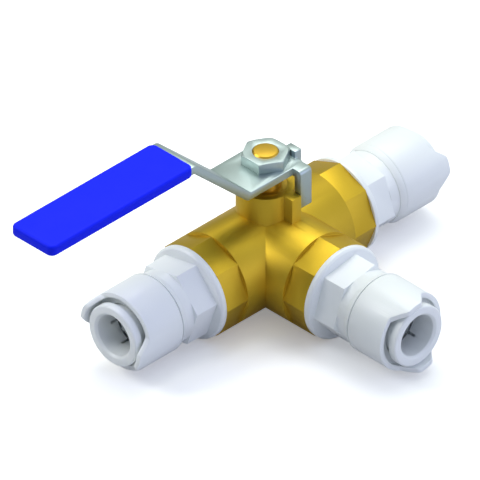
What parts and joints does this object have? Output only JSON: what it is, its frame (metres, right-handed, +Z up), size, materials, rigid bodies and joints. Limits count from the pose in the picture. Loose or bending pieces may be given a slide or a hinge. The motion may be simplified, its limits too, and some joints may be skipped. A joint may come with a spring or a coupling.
{
  "type": "three_way_ball_valve",
  "caption": "Three-way ball valve with a brass body, white push-fit pipe ends and a cranked steel lever with a blue grip",
  "frame": {"origin": "the middle of the valve's outline seen from above, on the flat under the body", "axes": "+Z up along the stem; -X and +X out of the run ports, the lever over -X at rest; -Y out of the branch port"},
  "size_m": [0.1838, 0.0904, 0.077],
  "materials": {
    "brass": "machined brass, satin",
    "chrome": "chrome plated and polished",
    "steel": "zinc plated steel, satin",
    "spring_steel": "bright stainless strip",
    "blue_grip": "soft vinyl sleeve, satin",
    "seat_plastic": "white sealing plastic, smooth",
    "seal_rubber": "black sealing rubber",
    "white_plastic": "moulded white plastic, semi gloss"
  },
  "bodies": {
    "valve": {"valve_body": "brass", "thrust_washer": "seat_plastic", "stem_packing": "seat_plastic", "gland_screw": "brass", "seat_left": "seat_plastic", "seat_right": "seat_plastic", "seat_branch": "seat_plastic", "seat_rear": "seat_plastic", "seat_retainer_left": "brass", "adapter_left": "white_plastic", "face_seal_left": "seal_rubber", "o_ring_left": "seal_rubber", "spacer_ring_left": "white_plastic", "end_cap_left": "white_plastic", "seat_retainer_right": "brass", "adapter_right": "white_plastic", "face_seal_right": "seal_rubber", "o_ring_right": "seal_rubber", "spacer_ring_right": "white_plastic", "end_cap_right": "white_plastic", "seat_retainer_branch": "brass", "adapter_branch": "white_plastic", "face_seal_branch": "seal_rubber", "o_ring_branch": "seal_rubber", "spacer_ring_branch": "white_plastic", "end_cap_branch": "white_plastic"},
    "handle": {"lever": "steel", "lever_grip": "blue_grip", "lever_nut": "steel", "stem": "brass", "ball": "chrome"},
    "collet_left_body": {"collet_left": "white_plastic", "collet_teeth_left": "spring_steel"},
    "collet_right_body": {"collet_right": "white_plastic", "collet_teeth_right": "spring_steel"},
    "collet_branch_body": {"collet_branch": "white_plastic", "collet_teeth_branch": "spring_steel"}
  },
  "joints": [
    {"name": "lever_turn", "type": "hinge", "parent": "valve", "child": "handle", "pos_m": [0.01875, 0.028, 0.017], "axis": [0, 0, 1], "range_deg": [0, 90]},
    {"name": "collet_left_slide", "type": "slide", "parent": "valve", "child": "collet_left_body", "axis": [1, 0, 0], "range_m": [0, 0.0025]},
    {"name": "collet_right_slide", "type": "slide", "parent": "valve", "child": "collet_right_body", "axis": [-1, 0, 0], "range_m": [0, 0.0025]},
    {"name": "collet_branch_slide", "type": "slide", "parent": "valve", "child": "collet_branch_body", "axis": [0, 1, 0], "range_m": [0, 0.0025]}
  ]
}
